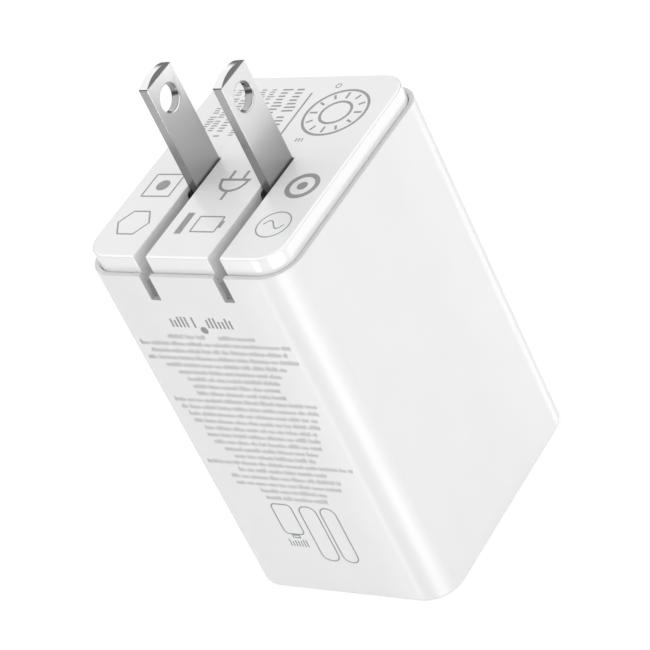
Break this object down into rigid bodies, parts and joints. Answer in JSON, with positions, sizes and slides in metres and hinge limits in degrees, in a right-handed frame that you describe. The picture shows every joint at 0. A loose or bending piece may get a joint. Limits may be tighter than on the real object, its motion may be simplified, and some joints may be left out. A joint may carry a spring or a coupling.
{
  "type": "laptop power adapter",
  "caption": "White wall-plug power adapter for a laptop: a rounded square block with folding flat mains prongs at one end and a column of USB sockets at the other.",
  "frame": {"origin": "middle of the socket face, the end face that the adapter stands on", "axes": "+Z from the socket face to the prongs; -Y towards the side that the prongs fold to, which carries the printed table; +X from the left prong to the right one, seen from that side"},
  "size_m": [0.035, 0.041, 0.0806],
  "materials": {
    "white_plastic": "satin moulded polycarbonate",
    "prong_metal": "bright nickel plate",
    "inner_plastic": "plain moulded nylon",
    "steel": "plain bright steel",
    "spring_bronze": "rolled strip",
    "lead_cover": "matt sleeve",
    "lead_cover_red": "matt sleeve",
    "circuit_board": "solder mask",
    "thermal_silicone": "soft matt pad",
    "fuse_ceramic": "matt",
    "film_case": "moulded case",
    "ferrite": "ground",
    "copper_wire": "enamelled",
    "winding_tape": "tape",
    "black_epoxy": "moulded",
    "capacitor_can": "sleeved can",
    "bare_can": "drawn can",
    "disc_coat": "dipped coat",
    "inductor_body": "pressed powder",
    "spreader_sheet": "rolled sheet",
    "insulating_film": "film",
    "socket_steel": "drawn and nickelled",
    "socket_plastic": "moulded"
  },
  "bodies": {
    "housing": {"shell": "white_plastic", "prong_cap": "white_plastic", "hinge_pin": "steel", "hinge_cover": "inner_plastic", "detent_spring": "steel", "contact_left": "spring_bronze", "contact_right": "spring_bronze", "cover_screws": "steel", "lead_left": "lead_cover", "lead_right": "lead_cover_red", "main_board": "circuit_board", "thermal_pad": "thermal_silicone", "fuse": "fuse_ceramic", "x_capacitor": "film_case", "choke_core": "ferrite", "choke_windings": "copper_wire", "bridge_rectifier": "black_epoxy", "bulk_capacitor_1": "capacitor_can", "bulk_capacitor_2": "capacitor_can", "gan_switch": "black_epoxy", "transformer_core": "ferrite", "transformer_winding": "winding_tape", "y_capacitor": "disc_coat", "optocoupler": "black_epoxy", "socket_board": "circuit_board", "output_capacitor_1": "bare_can", "output_capacitor_2": "bare_can", "buck_inductor_1": "inductor_body", "buck_inductor_2": "inductor_body", "heat_spreader": "spreader_sheet", "insulating_sheet": "insulating_film", "usb_c_shell_1": "socket_steel", "usb_c_shell_2": "socket_steel", "usb_c_insert_1": "socket_plastic", "usb_c_insert_2": "socket_plastic", "usb_a_shell_1": "socket_steel", "usb_a_shell_2": "socket_steel", "usb_a_insert_1": "socket_plastic", "usb_a_insert_2": "socket_plastic"},
    "prongs": {"prong_left": "prong_metal", "prong_right": "prong_metal", "prong_rotor": "inner_plastic"}
  },
  "joints": [
    {"name": "prong_fold", "type": "hinge", "parent": "housing", "child": "prongs", "pos_m": [0, -0.0008, 0.0608], "axis": [1, 0, 0], "range_deg": [0, 90]}
  ]
}
